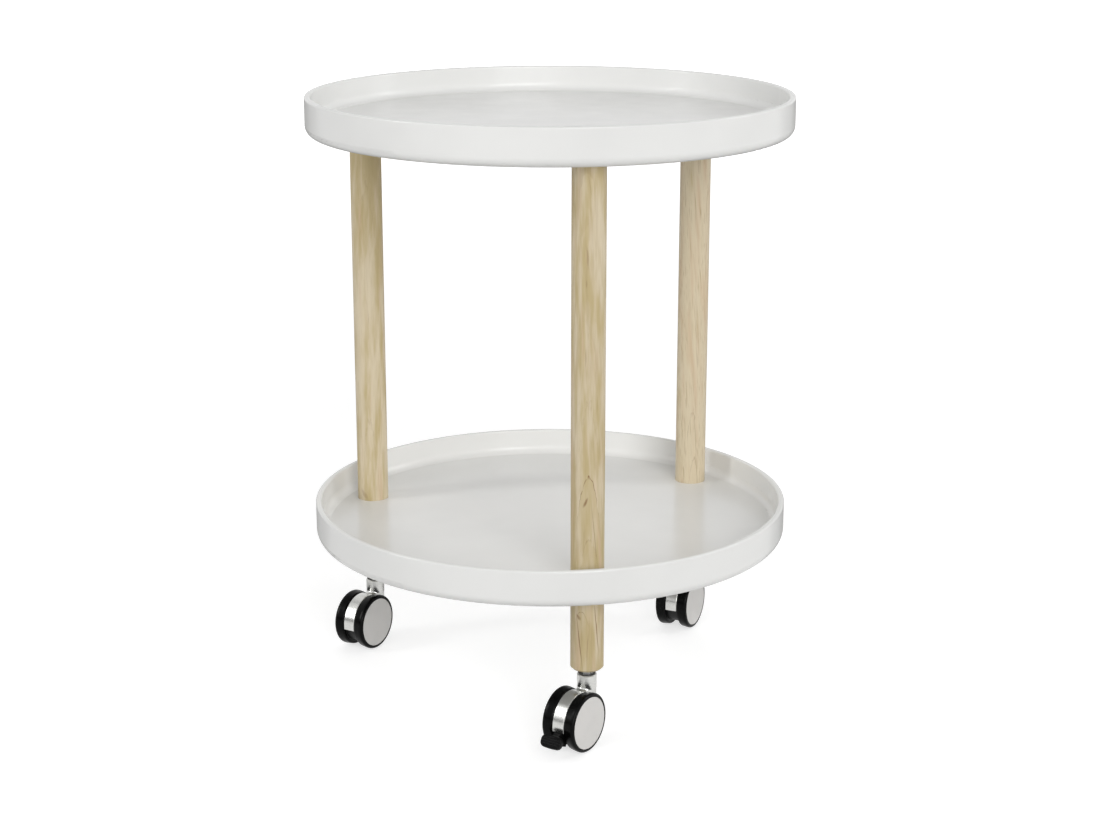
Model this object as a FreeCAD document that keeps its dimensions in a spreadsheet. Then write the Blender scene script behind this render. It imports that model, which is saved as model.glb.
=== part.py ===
"""Round two-tier serving cart: two lacquered trays, three wooden legs, three twin-wheel swivel casters.

Millimetres. +Z is up, the floor is z = 0 and the cart's centre line is the Z axis.
"""
import FreeCAD
import Part
import Sketcher
import os
import re

# Driving dimensions. Lengths in millimetres, angles in degrees.
SIZES = {
    # Trays
    "tray_diameter": 480,
    "tray_height": 37,
    "tray_wall": 6,
    "tray_floor": 11,
    "tray_cove": 8,            # inside round between floor and wall
    "tray_rim_round": 2,       # both edges of the rim's top
    "tray_edge_round": 9,      # outside round under the wall
    "seat_depth": 1.5,         # shallow recess that locates each leg end
    # Legs
    "leg_diameter": 32,
    "leg_inset": 40,           # from the trays' edge to the leg centres
    "post_length": 400,        # clear height between the trays
    "foot_length": 75,
    "foot_chamfer": 2,
    # Studs and threaded inserts
    "stud_diameter": 8,
    "stud_grip": 14,           # length of stud in each leg end
    "insert_diameter": 12,
    "insert_length": 16,
    "tray_insert_length": 7,
    # Clearances
    "fit_gap": 0.1,            # radial, between pieces that are fixed together
    "running_gap": 0.05,       # radial, a shaft in its bore
    "side_gap": 0.3,           # between flat flanks that pass each other
    "end_gap": 0.3,            # depth left free at the end of a hole
    # Caster as a whole
    "wheel_diameter": 58,
    "wheel_width": 11.2,
    "wheel_gap": 13.4,         # between the two wheels' inner faces
    "neck_height": 17,         # from the top of the wheels to the wooden foot
    "caster_trail": 21.5,      # from the swivel axis to the axle
    "heading_front": 225,      # way that each caster points, from +X towards +Y
    "heading_left": 228,
    "heading_right": 234,
    # Stem
    "stem_hex": 11,            # across flats
    "stem_hex_height": 4.8,
    "swivel_pin_diameter": 8,
    "swivel_pin_depth": 16,    # length of pin inside the barrel
    "washer_diameter": 17,
    "washer_thickness": 1,
    "ring_wire": 1,            # height of the retaining ring
    "ring_diameter": 9.8,
    "ring_depth": 5,           # from the barrel's top down to the ring
    "ring_groove_depth": 0.8,  # how deep the ring sits in the pin
    # Housing
    "barrel_diameter": 19,
    "barrel_chamfer": 0.8,
    "tail_height": 12,         # slope at the back of the barrel
    "barrel_clearance": 1.2,   # between the barrel's shoulders and the tyres below
    "hood_recess": 1.4,        # how far the tyres stand proud of the hood
    "hood_thickness": 2.2,
    "hood_edge_round": 0.7,
    "neck_round": 2.5,         # where the barrel runs into the hood
    "hood_front_drop": 8.5,    # angle by which the hood reaches below the axle in front
    "hood_back_rise": 12,      # angle above the axle at which it ends behind
    "hood_web": 4,             # middle wall inside the hood
    "web_front_rise": 10,
    "boss_diameter": 14,
    # Core between the wheels
    "core_diameter": 47,
    "core_lap": 2,             # angle between the core and each end of the hood
    # Wheels and axle
    "axle_diameter": 6,
    "end_play": 0.15,          # axial, on each side of a wheel
    "clip_diameter": 11,
    "clip_thickness": 0.6,
    "hub_tube_diameter": 12,
    "hub_rim": 2.5,
    "hub_web": 2,
    "tyre_thickness": 3.4,
    "tyre_lip": 4,             # width of tread that runs on the floor
    "tyre_taper": 1,           # how much lower the tread is at its inner edge
    "tyre_outer_round": 2.4,
    "tyre_inner_round": 2,
    "cap_thickness": 1.4,
    "cap_edge_round": 0.5,
    "cap_spigot": 1.2,         # height of the ring that presses into the hub
    "cap_spigot_wall": 1.4,
    # Brake on the front caster
    "bar_diameter": 4,
    "bar_length": 20,
    "bar_free_gap": 1.8,       # between the released bar and the inside of the rims
    "bar_drop": 15,            # angle of the bar below the axle
    "bar_lead": 2.5,           # from the pivot forward to the bar
    "bar_lift": 5,             # from the pivot up to the bar
    "bar_window": 1.3,         # room round the bar where it passes the core
    "pivot_diameter": 3,
    "pedal_arm": 8,            # thickness of the lever between the wheels
    "pedal_arm_wall": 1.4,     # lever round the bar and the pivot
    "pedal_arm_gap": 0.8,      # between the lever and the end of the hood above it
    "pedal_heel_lead": 4,      # lowest corner of the lever, forward of the pivot
    "pedal_heel_drop": 10.5,   # and below it
    "pedal_range": 18,         # angle from released to locked
    "pedal_gap": 7.5,          # from the tyres to the back of the pad
    "pedal_drop": 19,          # angle of the pad below the axle
    "pedal_tilt": 30,          # how far the pad's face leans back
    "pedal_width": 23,
    "pedal_height": 13,
    "pedal_bow": 0.9,          # how far each side of the pad swells past its corners
    "pedal_thickness": 6.5,
    "pedal_corner": 5,
    "pedal_edge_round": 2.2,
    "pedal_groove": 1.5,       # width of the round grooves between the pad's ribs
    "pedal_groove_pitch": 2.4,
}
GROOVE_COUNT = 4
MATCH = 1e-4                   # how closely an edge or face is matched when it is picked

# Sizes that follow from the driving ones, as formulas in their names.
DERIVED = {
    "caster_height": "wheel_diameter + neck_height",
    "lower_base": "caster_height + foot_length",
    "lower_floor": "lower_base + tray_floor",
    "top_base": "lower_floor + post_length",
    "tray_radius": "tray_diameter / 2",
    "well_radius": "tray_radius - tray_wall",
    "leg_place": "tray_radius - leg_inset",
    "leg_radius": "leg_diameter / 2",
    "seat_radius": "leg_radius + fit_gap",
    "stud_radius": "stud_diameter / 2",
    "thread_radius": "stud_radius + running_gap",
    "insert_radius": "insert_diameter / 2",
    "insert_hole": "insert_radius + fit_gap",
    "wheel_radius": "wheel_diameter / 2",
    "foot_base": "wheel_radius + neck_height",
    "pin_radius": "swivel_pin_diameter / 2",
    "hex_base": "foot_base - stem_hex_height",
    "washer_base": "hex_base - washer_thickness",
    "barrel_top": "washer_base - side_gap",
    "pin_base": "barrel_top - swivel_pin_depth",
    "ring_base": "barrel_top - ring_depth",
    "ring_top": "ring_base + ring_wire",
    "ring_seat": "pin_radius - ring_groove_depth",
    "flank": "wheel_gap / 2",
    "hood_half": "flank - side_gap",
    "hood_outer": "wheel_radius - hood_recess",
    "hood_inner": "hood_outer - hood_thickness",
    "hood_middle": "hood_outer - hood_thickness / 2",
    "barrel_radius": "barrel_diameter / 2",
    "shoulder_reach": "caster_trail - sqrt(barrel_radius^2 - flank^2)",
    "shoulder": "sqrt(wheel_radius^2 - shoulder_reach^2) + barrel_clearance",
    "barrel_foot": "hood_middle * sin(hood_back_rise)",
    "boss_radius": "boss_diameter / 2",
    "core_radius": "core_diameter / 2",
    "axle_radius": "axle_diameter / 2",
    "axle_bore": "axle_radius + running_gap",
    "rim_radius": "wheel_radius - tyre_thickness",
    "cup_radius": "rim_radius - fit_gap - hub_rim",
    "hub_tube_radius": "hub_tube_diameter / 2",
    "wheel_face": "flank + wheel_width",
    "cap_seat": "wheel_face - cap_thickness",
    "hub_face": "cap_seat - cap_spigot",
    "clip_base": "hub_face + end_play",
    "axle_end": "clip_base + clip_thickness + end_play",
    "bar_radius": "bar_diameter / 2",
    "bar_reach": "cup_radius - bar_free_gap - bar_radius",
    "bar_x": "bar_reach * cos(bar_drop)",
    "bar_z": "0 - bar_reach * sin(bar_drop)",
    "pivot_radius": "pivot_diameter / 2",
    "pivot_x": "bar_x - bar_lead",
    "pivot_z": "bar_z - bar_lift",
    "bar_lobe": "bar_radius + pedal_arm_wall",
    "pivot_lobe": "pivot_radius + pedal_arm_wall * 2",
    "pad_reach": "wheel_radius + pedal_gap",
    "pad_x": "pad_reach * cos(pedal_drop)",
    "pad_z": "0 - pad_reach * sin(pedal_drop)",
    "face_x": "pad_x + pedal_thickness * cos(pedal_tilt)",
    "face_z": "pad_z + pedal_thickness * sin(pedal_tilt)",
}

# Angle of each leg about the centre line, from +X towards +Y.
LEGS = {"front": -90, "right": 30, "left": 150}
WHEEL_SIDES = {"left": 1, "right": -1}
BRAKED_LEG = "front"
Y_AXIS = FreeCAD.Vector(0, 1, 0)
Z_AXIS = FreeCAD.Vector(0, 0, 1)

doc = FreeCAD.newDocument("ServingCart")
sheet = doc.addObject("Spreadsheet::Sheet", "Sizes")
for row, (alias, number) in enumerate(SIZES.items(), start=1):
    sheet.set(f"A{row}", alias.replace("_", " "))
    sheet.set(f"B{row}", str(number))
    sheet.setAlias(f"B{row}", alias)
doc.recompute()
sub_parts = []


def formula(words):
    """FreeCAD expression for a formula written in the names of SIZES and DERIVED."""
    def expand(match):
        name = match.group(0)
        if name in DERIVED:
            return f"({formula(DERIVED[name])})"
        return f"Sizes.{name}" if name in SIZES else name
    return re.sub(r"[a-z_]+", expand, str(words))


def value(words):
    """Number that a formula gives with the sheet as it is."""
    result = sheet.evalExpression(formula(words))
    return float(getattr(result, "Value", result))


def bind(owner, prop, words):
    """Tie a property of a document object to a formula."""
    owner.setExpression(prop, formula(words))


def placement(x, y, z, axis="0; 0; 1", angle="0"):
    """Expression for a Placement: a shift by formulas and a turn about an axis."""
    shift = "; ".join(formula(words) for words in (x, y, z))
    return f"placement(vector({shift}); rotation(vector({axis}); {formula(angle)}))"


def place(piece, x="0", y="0", z="0", heading="0"):
    """Tie a sub-part's Placement to formulas, with a turn about Z."""
    piece.setExpression("Placement", placement(x, y, z, angle=heading))


def new_body(name):
    body = doc.addObject("PartDesign::Body", name)
    body.Label = name
    return body


def keep(piece):
    """Mark a document object as a sub-part, written to a file under its Label."""
    sub_parts.append(piece)
    return piece


def origin(body, role):
    return next(item for item in body.Origin.OriginFeatures if item.Role == role)


def new_sketch(body, plane, x="0", y="0", z="0", tilt="0"):
    """Sketch on one of the body's own planes, shifted along the plane's axes and tilted about its first one."""
    sketch = body.newObject("Sketcher::SketchObject", f"{body.Name}_sketch")
    sketch.AttachmentSupport = [(origin(body, plane), "")]
    sketch.MapMode = "FlatFace"
    sketch.setExpression("AttachmentOffset", placement(x, y, z, axis="1; 0; 0", angle=tilt))
    return sketch


def pin_point(sketch, geometry, point, x, y):
    """Hold one point of a sketch at formulas for its two coordinates."""
    for kind, words in (("DistanceX", x), ("DistanceY", y)):
        index = sketch.addConstraint(Sketcher.Constraint(kind, -1, 1, geometry, point, value(words)))
        sketch.setExpression(f"Constraints[{index}]", formula(words))


def draw_polygon(sketch, corners):
    """Closed outline of straight lines through corners given as pairs of formulas."""
    points = [FreeCAD.Vector(value(x), value(y), 0) for x, y in corners]
    first = sketch.GeometryCount
    count = len(points)
    for i in range(count):
        sketch.addGeometry(Part.LineSegment(points[i], points[(i + 1) % count]), False)
    for i in range(count):
        sketch.addConstraint(Sketcher.Constraint("Coincident", first + i, 2, first + (i + 1) % count, 1))
    for i, (x, y) in enumerate(corners):
        pin_point(sketch, first + i, 1, x, y)


def draw_box(sketch, x_low, x_high, y_low, y_high):
    draw_polygon(sketch, [(x_low, y_low), (x_high, y_low), (x_high, y_high), (x_low, y_high)])


def draw_circle(sketch, x, y, radius):
    centre = FreeCAD.Vector(value(x), value(y), 0)
    index = sketch.addGeometry(Part.Circle(centre, Z_AXIS, value(radius)), False)
    pin_point(sketch, index, 3, x, y)
    size = sketch.addConstraint(Sketcher.Constraint("Radius", index, value(radius)))
    sketch.setExpression(f"Constraints[{size}]", formula(radius))


def draw_bowed_box(sketch, half_width, half_height, bow):
    """Closed outline of four arcs that swell past the sides of a centred box by the bow."""
    corners = [(f"{x} * ({half_width} - {bow})", f"{y} * ({half_height} - {bow})")
               for x, y in ((-1, -1), (1, -1), (1, 1), (-1, 1))]
    middles = [("0", f"0 - {half_height}"), (half_width, "0"), ("0", half_height), (f"0 - {half_width}", "0")]
    halves = [f"({half_width} - {bow})", f"({half_height} - {bow})"] * 2
    count = len(corners)
    for i in range(count):
        start, middle, end = (FreeCAD.Vector(value(x), value(y), 0)
                              for x, y in (corners[i], middles[i], corners[(i + 1) % count]))
        sketch.addGeometry(Part.Arc(start, middle, end), False)
    for i in range(count):
        sketch.addConstraint(Sketcher.Constraint("Coincident", i, 2, (i + 1) % count, 1))
        pin_point(sketch, i, 1, *corners[i])
    for i, half in enumerate(halves):
        radius = f"({half}^2 + {bow}^2) / (2 * {bow})"
        size = sketch.addConstraint(Sketcher.Constraint("Radius", i, value(radius)))
        sketch.setExpression(f"Constraints[{size}]", formula(radius))


def revolve(body, sketch, axis="V_Axis", turns=None):
    """Turn a sketch about one of its axes, all the way or by an angle to each side of its plane."""
    feature = body.newObject("PartDesign::Revolution", f"{body.Name}_turned")
    feature.Profile = sketch
    feature.ReferenceAxis = (sketch, [axis])
    feature.Angle = 360
    if turns:
        feature.Type = "TwoAngles"
        bind(feature, "Angle", turns[0])
        bind(feature, "Angle2", turns[1])
    doc.recompute()
    return feature


def bore(body, sketch):
    """Cut a sketch turned about its vertical axis out of the body, and make sure that it cut."""
    before = body.Shape.Volume
    feature = body.newObject("PartDesign::Groove", f"{body.Name}_bore")
    feature.Profile = sketch
    feature.ReferenceAxis = (sketch, ["V_Axis"])
    feature.Angle = 360
    doc.recompute()
    if not feature.Shape.Volume < before:
        raise RuntimeError(f"a bore in {body.Label} cuts nothing")
    return feature


def pad(body, sketch, length, both_ways=False):
    feature = body.newObject("PartDesign::Pad", f"{body.Name}_pad")
    feature.Profile = sketch
    feature.SideType = "Symmetric" if both_ways else "One side"
    bind(feature, "Length", length)
    doc.recompute()
    return feature


def pocket(body, sketch, length, both_ways=False, upward=False):
    """Cut a sketch out of the body, against its normal unless upward, and make sure that it cut."""
    before = body.Shape.Volume
    feature = body.newObject("PartDesign::Pocket", f"{body.Name}_pocket")
    feature.Profile = sketch
    feature.SideType = "Symmetric" if both_ways else "One side"
    feature.Reversed = upward
    bind(feature, "Length", length)
    doc.recompute()
    if not feature.Shape.Volume < before:
        raise RuntimeError(f"a pocket in {body.Label} cuts nothing")
    return feature


def ring_edges(feature, axis, radius, position):
    """Names of the circular edges of one radius at one place along an axis of the body."""
    names = []
    for number, edge in enumerate(feature.Shape.Edges, start=1):
        curve = edge.Curve
        if not isinstance(curve, Part.Circle) or abs(curve.Radius - value(radius)) > MATCH:
            continue
        if abs(curve.Center.dot(axis) - value(position)) < MATCH:
            names.append(f"Edge{number}")
    return names


def meeting_edges(feature, first_radius, second_radius):
    """Names of the edges where round faces of two radii run into each other."""
    wanted = sorted([value(first_radius), value(second_radius)])
    names = []
    for number, edge in enumerate(feature.Shape.Edges, start=1):
        faces = feature.Shape.ancestorsOfType(edge, Part.Face)
        radii = sorted(face.Surface.Radius for face in faces if isinstance(face.Surface, Part.Cylinder))
        if len(radii) == len(wanted) and all(abs(a - b) < MATCH for a, b in zip(radii, wanted)):
            names.append(f"Edge{number}")
    return names


def round_edges(body, feature, names, radius):
    if not names:
        raise RuntimeError(f"{body.Label} has no such edge to round")
    fillet = body.newObject("PartDesign::Fillet", f"{body.Name}_round")
    fillet.Base = (feature, names)
    bind(fillet, "Radius", radius)
    doc.recompute()
    return fillet


def turned(name, profile, plane="XZ_Plane"):
    """Body turned from a half section: about Z from the XZ plane, or about Y from the XY plane."""
    body = new_body(name)
    sketch = new_sketch(body, plane)
    draw_polygon(sketch, profile)
    revolve(body, sketch)
    return body


def tube_profile(inner, outer, low, high):
    return [(inner, low), (outer, low), (outer, high), (inner, high)]


def group(name, pieces):
    """One sub-part made of several like solids."""
    compound = doc.addObject("Part::Compound", name)
    compound.Label = name
    compound.Links = pieces
    return keep(compound)


def leg_x(leg):
    return f"leg_place * cos({LEGS[leg]})"


def leg_y(leg):
    return f"leg_place * sin({LEGS[leg]})"


def place_on_leg(piece, leg, z):
    place(piece, leg_x(leg), leg_y(leg), z)


def place_on_axle(piece, leg):
    """Put a caster's piece, made with the axle through its origin along Y, under its leg."""
    heading = f"heading_{leg}"
    place(piece, f"{leg_x(leg)} + caster_trail * cos({heading})",
          f"{leg_y(leg)} + caster_trail * sin({heading})", "wheel_radius", heading)


def make_tray(name, base):
    """Round tray turned from its half section, with its rim, cove and lower edge rounded."""
    body = new_body(name)
    sketch = new_sketch(body, "XZ_Plane")
    draw_polygon(sketch, [("0", "0"), ("tray_radius", "0"), ("tray_radius", "tray_height"),
                          ("well_radius", "tray_height"), ("well_radius", "tray_floor"), ("0", "tray_floor")])
    shell = revolve(body, sketch)
    shell = round_edges(body, shell, ring_edges(shell, Z_AXIS, "well_radius", "tray_floor"), "tray_cove")
    shell = round_edges(body, shell, ring_edges(shell, Z_AXIS, "tray_radius", "0"), "tray_edge_round")
    rim = ring_edges(shell, Z_AXIS, "well_radius", "tray_height")
    rim += ring_edges(shell, Z_AXIS, "tray_radius", "tray_height")
    round_edges(body, shell, rim, "tray_rim_round")
    place(body, z=base)
    return keep(body)


def drill_tray(body, height, radius, depth, upward):
    """Round hole at the front leg's place, from a height in the tray."""
    sketch = new_sketch(body, "XY_Plane", z=height)
    draw_circle(sketch, "0", "0 - leg_place", radius)
    return pocket(body, sketch, depth, upward=upward)


def repeat_on_legs(body, holes):
    """The front leg's holes again at the other legs."""
    pattern = body.newObject("PartDesign::PolarPattern", f"{body.Name}_legs")
    pattern.Originals = holes
    pattern.Axis = (origin(body, "Z_Axis"), [""])
    pattern.Angle = 360
    pattern.Occurrences = len(LEGS)
    body.Tip = pattern
    doc.recompute()


def make_trays():
    """Top tray with blind holes for inserts, lower tray with a seat on each side and a hole for the stud."""
    top = make_tray("top_tray", "top_base")
    repeat_on_legs(top, [
        drill_tray(top, "0", "seat_radius", "seat_depth", True),
        drill_tray(top, "seat_depth", "insert_hole", "tray_insert_length + end_gap", True)])
    lower = make_tray("lower_tray", "lower_base")
    repeat_on_legs(lower, [
        drill_tray(lower, "0", "seat_radius", "seat_depth", True),
        drill_tray(lower, "tray_floor", "seat_radius", "seat_depth", False),
        drill_tray(lower, "seat_depth", "thread_radius + fit_gap", "tray_floor", True)])


def make_legs():
    """Wooden posts and feet, each bored at both ends for its inserts."""
    hole = "insert_length + end_gap"
    for leg in LEGS:
        length = "post_length + seat_depth * 2"
        post = turned(f"post_{leg}", [
            ("0", hole), ("insert_hole", hole), ("insert_hole", "0"), ("leg_radius", "0"),
            ("leg_radius", length), ("insert_hole", length), ("insert_hole", f"{length} - ({hole})"),
            ("0", f"{length} - ({hole})")])
        place_on_leg(post, leg, "lower_floor - seat_depth")
        keep(post)
        length = "foot_length + seat_depth"
        foot = turned(f"foot_{leg}", [
            ("0", hole), ("insert_hole", hole), ("insert_hole", "0"), ("leg_radius - foot_chamfer", "0"),
            ("leg_radius", "foot_chamfer"), ("leg_radius", length), ("insert_hole", length),
            ("insert_hole", f"{length} - ({hole})"), ("0", f"{length} - ({hole})")])
        place_on_leg(foot, leg, "caster_height")
        keep(foot)


def make_joinery():
    """Threaded inserts and studs that hold the legs to the trays."""
    post_base = "lower_floor - seat_depth"
    post_top = "top_base + seat_depth"
    foot_top = "lower_base + seat_depth"
    insert_places = {
        "post_lower": post_base, "post_upper": f"{post_top} - insert_length",
        "foot_upper": f"{foot_top} - insert_length", "foot_lower": "caster_height"}
    leg_inserts, tray_inserts, upper_studs, lower_studs = [], [], [], []
    for leg in LEGS:
        for where, height in insert_places.items():
            insert = turned(f"insert_{where}_{leg}",
                            tube_profile("thread_radius", "insert_radius", "0", "insert_length"))
            place_on_leg(insert, leg, height)
            leg_inserts.append(insert)
        tray_insert = turned(f"tray_insert_{leg}",
                             tube_profile("thread_radius", "insert_radius", "0", "tray_insert_length"))
        place_on_leg(tray_insert, leg, post_top)
        tray_inserts.append(tray_insert)
        upper = turned(f"upper_stud_{leg}",
                       tube_profile("0", "stud_radius", "0 - stud_grip", "tray_insert_length"))
        place_on_leg(upper, leg, post_top)
        upper_studs.append(upper)
        lower = turned(f"lower_stud_{leg}", tube_profile(
            "0", "stud_radius", "0 - stud_grip", "tray_floor - seat_depth * 2 + stud_grip"))
        place_on_leg(lower, leg, foot_top)
        lower_studs.append(lower)
    group("leg_inserts", leg_inserts)
    group("tray_inserts", tray_inserts)
    group("upper_studs", upper_studs)
    group("lower_studs", lower_studs)


def make_stem(leg):
    """Caster stem: thread into the foot, hexagon under it, swivel pin with a groove for its ring."""
    body = turned(f"caster_stem_{leg}", [
        ("0", "pin_base"), ("pin_radius", "pin_base"), ("pin_radius", "ring_base - end_play"),
        ("ring_seat", "ring_base - end_play"), ("ring_seat", "ring_top + end_play"),
        ("pin_radius", "ring_top + end_play"), ("pin_radius", "hex_base"), ("stud_radius", "foot_base"),
        ("stud_radius", "foot_base + stud_grip"), ("0", "foot_base + stud_grip")])
    sketch = new_sketch(body, "XY_Plane", z="hex_base")
    corner = "stem_hex / 2 / cos(30)"
    draw_polygon(sketch, [(f"{corner} * cos({turn})", f"{corner} * sin({turn})") for turn in range(0, 360, 60)])
    pad(body, sketch, "stem_hex_height")
    place(body, leg_x(leg), leg_y(leg), "wheel_radius", f"heading_{leg}")
    return keep(body)


def make_swivel_trim():
    """Thrust washer under each hexagon and retaining ring in each barrel."""
    washers, rings = [], []
    for leg in LEGS:
        washer = turned(f"washer_{leg}", tube_profile(
            "pin_radius + fit_gap", "washer_diameter / 2", "washer_base", "hex_base"))
        ring = turned(f"ring_{leg}", tube_profile(
            "ring_seat + running_gap", "ring_diameter / 2", "ring_base", "ring_top"))
        for piece, pieces in ((washer, washers), (ring, rings)):
            place_on_leg(piece, leg, "wheel_radius")
            pieces.append(piece)
    group("swivel_washers", washers)
    group("swivel_rings", rings)


def draw_sector_box(body, low, high):
    """Box across the caster on its upright plane through the axle, ready to turn about the axle."""
    sketch = new_sketch(body, "YZ_Plane")
    draw_box(sketch, "0 - hood_half", "hood_half", low, high)
    return sketch


def make_housing(leg):
    """Cast housing: curved hood between the wheels, inner web with axle boss, upright swivel barrel."""
    body = new_body(f"caster_housing_{leg}")
    revolve(body, draw_sector_box(body, "hood_inner", "hood_outer"), "H_Axis",
            ("90 + hood_front_drop", "90 - hood_back_rise"))
    web = new_sketch(body, "YZ_Plane")
    draw_box(web, "0 - hood_web / 2", "hood_web / 2", "0", "hood_middle")
    revolve(body, web, "H_Axis", ("90 - web_front_rise", "90 - hood_back_rise"))
    boss = new_sketch(body, "XZ_Plane")
    draw_circle(boss, "0", "0", "boss_radius")
    pad(body, boss, "hood_half * 2", both_ways=True)

    barrel = new_sketch(body, "XZ_Plane", x="0 - caster_trail")
    draw_polygon(barrel, [
        ("0", "barrel_foot"), ("barrel_radius", "barrel_foot"),
        ("barrel_radius", "barrel_top - barrel_chamfer"), ("barrel_radius - barrel_chamfer", "barrel_top"),
        ("0", "barrel_top")])
    revolve(body, barrel)
    cast = trim_barrel(body)
    cast = round_edges(body, cast, meeting_edges(cast, "barrel_radius", "hood_outer"), "neck_round")
    edges = ring_edges(cast, Y_AXIS, "hood_outer", "hood_half")
    edges += ring_edges(cast, Y_AXIS, "hood_outer", "0 - hood_half")
    round_edges(body, cast, edges, "hood_edge_round")

    swivel_bore = new_sketch(body, "XZ_Plane", x="0 - caster_trail")
    clear = "pin_radius + running_gap"
    groove = "ring_diameter / 2 + side_gap"
    draw_polygon(swivel_bore, [
        ("0", "pin_base - end_gap"), (clear, "pin_base - end_gap"), (clear, "ring_base - end_gap"),
        (groove, "ring_base - end_gap"), (groove, "ring_top + end_gap"), (clear, "ring_top + end_gap"),
        (clear, "barrel_top"), ("0", "barrel_top")])
    bore(body, swivel_bore)
    axle_hole = new_sketch(body, "XZ_Plane")
    draw_circle(axle_hole, "0", "0", "axle_bore")
    pocket(body, axle_hole, "wheel_gap", both_ways=True)
    place_on_axle(body, leg)
    return keep(body)


def trim_barrel(body):
    """Flats that let the lower barrel pass between the tyres, and its tail sloped towards the hood's end."""
    flats = new_sketch(body, "XY_Plane", z="shoulder")
    for side in WHEEL_SIDES.values():
        draw_box(flats, "0 - caster_trail - barrel_diameter", "barrel_diameter - caster_trail",
                 f"{side} * hood_half", f"{side} * barrel_diameter")
    pocket(body, flats, "shoulder - barrel_foot")
    tail = new_sketch(body, "XZ_Plane")
    back = "0 - caster_trail - barrel_radius"
    draw_polygon(tail, [(back, "barrel_foot + tail_height"), (back, "barrel_foot"),
                        ("0 - hood_outer * cos(hood_back_rise)", "barrel_foot")])
    return pocket(body, tail, "wheel_gap", both_ways=True)


def make_core(leg):
    """Black core that closes the space between the wheels below the hood."""
    body = new_body(f"caster_core_{leg}")
    sector = draw_sector_box(body, "0 - core_radius", "0 - boss_radius - fit_gap")
    revolve(body, sector, "H_Axis",
            ("90 + hood_back_rise - core_lap", "90 - hood_front_drop - core_lap"))
    place_on_axle(body, leg)
    return keep(body)


def open_core_for_brake(core):
    """Slot for the pedal's lever, holes for its pivot pin and room for the brake bar."""
    slot = new_sketch(core, "XZ_Plane")
    draw_box(slot, "pivot_x - pivot_lobe - side_gap", "wheel_radius", "0 - wheel_radius", "0")
    pocket(core, slot, "pedal_arm + side_gap * 2", both_ways=True)
    window = new_sketch(core, "XZ_Plane")
    draw_circle(window, "pivot_x + bar_lead * cos(pedal_range / 2) + bar_lift * sin(pedal_range / 2)",
                "pivot_z + bar_lift * cos(pedal_range / 2) - bar_lead * sin(pedal_range / 2)",
                "bar_radius + bar_window")
    pocket(core, window, "wheel_gap", both_ways=True)
    pivot = new_sketch(core, "XZ_Plane")
    draw_circle(pivot, "pivot_x", "pivot_z", "pivot_radius + running_gap")
    pocket(core, pivot, "wheel_gap", both_ways=True)


def make_axle(leg):
    """Axle through the housing's boss, with a clip outside each wheel."""
    axle = turned(f"caster_axle_{leg}", tube_profile("0", "axle_radius", "0 - axle_end", "axle_end"), "XY_Plane")
    place_on_axle(keep(axle), leg)
    clips = []
    for side, sign in WHEEL_SIDES.items():
        clip = turned(f"axle_clip_{leg}_{side}", tube_profile(
            "axle_bore", "clip_diameter / 2", f"{sign} * clip_base",
            f"{sign} * (clip_base + clip_thickness)"), "XY_Plane")
        place_on_axle(clip, leg)
        clips.append(clip)
    group(f"axle_clips_{leg}", clips)


def make_wheel(leg, side):
    """Wheel hub with a hollow inner side, the tyre round it and the cap that closes its face."""
    sign = WHEEL_SIDES[side]

    def along(words):
        return f"{sign} * ({words})"
    rim = "rim_radius - fit_gap"
    hub = turned(f"wheel_hub_{leg}_{side}", [
        ("axle_bore", along("hood_half + end_play")), ("hub_tube_radius", along("hood_half + end_play")),
        ("hub_tube_radius", along("hub_face - hub_web")), ("cup_radius", along("hub_face - hub_web")),
        ("cup_radius", along("flank + side_gap")), (rim, along("flank + side_gap")),
        (rim, along("cap_seat")), ("cup_radius", along("cap_seat")),
        ("cup_radius", along("hub_face")), ("axle_bore", along("hub_face"))], "XY_Plane")
    inner_edge = "wheel_radius - tyre_taper"
    tyre = turned(f"tyre_{leg}_{side}", [
        ("rim_radius", along("flank")), (inner_edge, along("flank")),
        ("wheel_radius", along("wheel_face - tyre_lip")), ("wheel_radius", along("wheel_face")),
        ("rim_radius", along("wheel_face"))], "XY_Plane")
    tread = round_edges(tyre, tyre.Tip, ring_edges(tyre.Tip, Y_AXIS, "wheel_radius", along("wheel_face")),
                        "tyre_outer_round")
    round_edges(tyre, tread, ring_edges(tread, Y_AXIS, inner_edge, along("flank")), "tyre_inner_round")
    spigot = "cup_radius - fit_gap"
    cap = turned(f"wheel_cap_{leg}_{side}", [
        ("0", along("cap_seat")), (f"{spigot} - cap_spigot_wall", along("cap_seat")),
        (f"{spigot} - cap_spigot_wall", along("hub_face + fit_gap")), (spigot, along("hub_face + fit_gap")),
        (spigot, along("cap_seat")), (rim, along("cap_seat")), (rim, along("wheel_face")),
        ("0", along("wheel_face"))], "XY_Plane")
    round_edges(cap, cap.Tip, ring_edges(cap.Tip, Y_AXIS, rim, along("wheel_face")), "cap_edge_round")
    for piece in (hub, tyre, cap):
        place_on_axle(keep(piece), leg)


def straight_edges(feature, direction):
    """Names of the straight edges that run along a direction."""
    return [f"Edge{number}" for number, edge in enumerate(feature.Shape.Edges, start=1)
            if isinstance(edge.Curve, Part.Line) and abs(edge.Curve.Direction.dot(direction)) > 1 - MATCH]


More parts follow.
